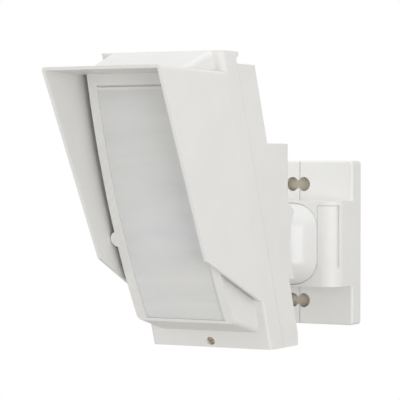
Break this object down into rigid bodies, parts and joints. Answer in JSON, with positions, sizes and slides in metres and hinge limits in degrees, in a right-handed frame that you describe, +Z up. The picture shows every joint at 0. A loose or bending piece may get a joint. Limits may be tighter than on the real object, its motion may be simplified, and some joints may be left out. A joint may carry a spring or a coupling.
{
  "type": "outdoor motion sensor",
  "caption": "Hooded passive-infrared outdoor motion sensor: a leaning lens head on a pan-and-tilt ball bracket with a slotted wall plate.",
  "frame": {"origin": "middle of the wall plate's back face, on the wall", "axes": "+Y into the wall, +Z up, +X to the right seen from the front; the sensor looks along -Y"},
  "size_m": [0.0884, 0.2889, 0.1919],
  "materials": {
    "housing_plastic": "fine-textured off-white moulding",
    "ball_plastic": "polished off-white moulding",
    "arm_plastic": "smooth off-white moulding",
    "lens_film": "milky, ribbed polyethylene film",
    "grey_foam": "closed-cell foam, grey-brown",
    "seal_rubber": "soft grey seal",
    "black_rubber": "matt rubber",
    "zinc_steel": "bright zinc plate",
    "brass_screw": "nickel-brass plate, slightly dulled",
    "bright_can": "stamped sensor can",
    "circuit_board": "green solder mask",
    "black_plastic": "moulded black",
    "green_plastic": "moulded green",
    "blue_plastic": "moulded blue",
    "white_plastic": "moulded white",
    "red_led": "clear red resin"
  },
  "bodies": {
    "bracket": {"wall_plate": "housing_plastic", "wall_gasket": "grey_foam", "cheek_cover_right": "housing_plastic", "cheek_cover_left": "housing_plastic", "cheek_screws": "zinc_steel"},
    "ball": {"ball_half_right": "ball_plastic", "ball_half_left": "ball_plastic", "tilt_axle": "zinc_steel", "friction_washers": "black_rubber"},
    "head": {"arm": "arm_plastic", "arm_nut": "zinc_steel", "back_box": "housing_plastic", "base_tray": "housing_plastic", "tray_screws": "zinc_steel", "wiring_bush": "black_rubber", "seam_seal": "seal_rubber", "main_board": "circuit_board", "board_screws": "zinc_steel", "heat_eyes": "bright_can", "eye_stands": "black_plastic", "terminal_block": "green_plastic", "terminal_screws": "zinc_steel", "relay": "black_plastic", "processor": "black_plastic", "capacitors": "black_plastic", "status_led": "red_led", "switch_bank": "blue_plastic", "tamper_switch": "black_plastic"},
    "cover": {"front_cover": "housing_plastic", "lens_sheet": "lens_film", "lens_retainer": "housing_plastic", "hood": "housing_plastic", "hood_screws": "zinc_steel"},
    "lock_screw": {"lock_screw": "brass_screw"},
    "tamper_plunger": {"tamper_plunger": "white_plastic"},
    "switch_slider_1": {"switch_slider_1": "white_plastic"},
    "switch_slider_2": {"switch_slider_2": "white_plastic"},
    "switch_slider_3": {"switch_slider_3": "white_plastic"}
  },
  "joints": [
    {"name": "pan", "type": "hinge", "parent": "bracket", "child": "ball", "pos_m": [0, -0.031, 0], "axis": [0, 0, 1], "range_deg": [-50, 50]},
    {"name": "tilt", "type": "hinge", "parent": "ball", "child": "head", "pos_m": [0, -0.031, 0], "axis": [1, 0, 0], "range_deg": [0, 20]},
    {"name": "cover_swing", "type": "hinge", "parent": "head", "child": "cover", "pos_m": [0, -0.19492, 0.1195], "axis": [-1, 0, 0], "range_deg": [0, 25]},
    {"name": "lock_screw_turn", "type": "hinge", "parent": "cover", "child": "lock_screw", "pos_m": [0, -0.14741, -0.06076], "axis": [0, -0.9397, -0.342], "continuous": true},
    {"name": "tamper_press", "type": "slide", "parent": "head", "child": "tamper_plunger", "axis": [0, 0.9397, 0.342], "range_m": [0, 0.0015], "stiffness_N_per_m": 300},
    {"name": "switch_slide_1", "type": "slide", "parent": "head", "child": "switch_slider_1", "axis": [0, -0.342, 0.9397], "range_m": [0, 0.002]},
    {"name": "switch_slide_2", "type": "slide", "parent": "head", "child": "switch_slider_2", "axis": [0, -0.342, 0.9397], "range_m": [0, 0.002]},
    {"name": "switch_slide_3", "type": "slide", "parent": "head", "child": "switch_slider_3", "axis": [0, -0.342, 0.9397], "range_m": [0, 0.002]}
  ]
}
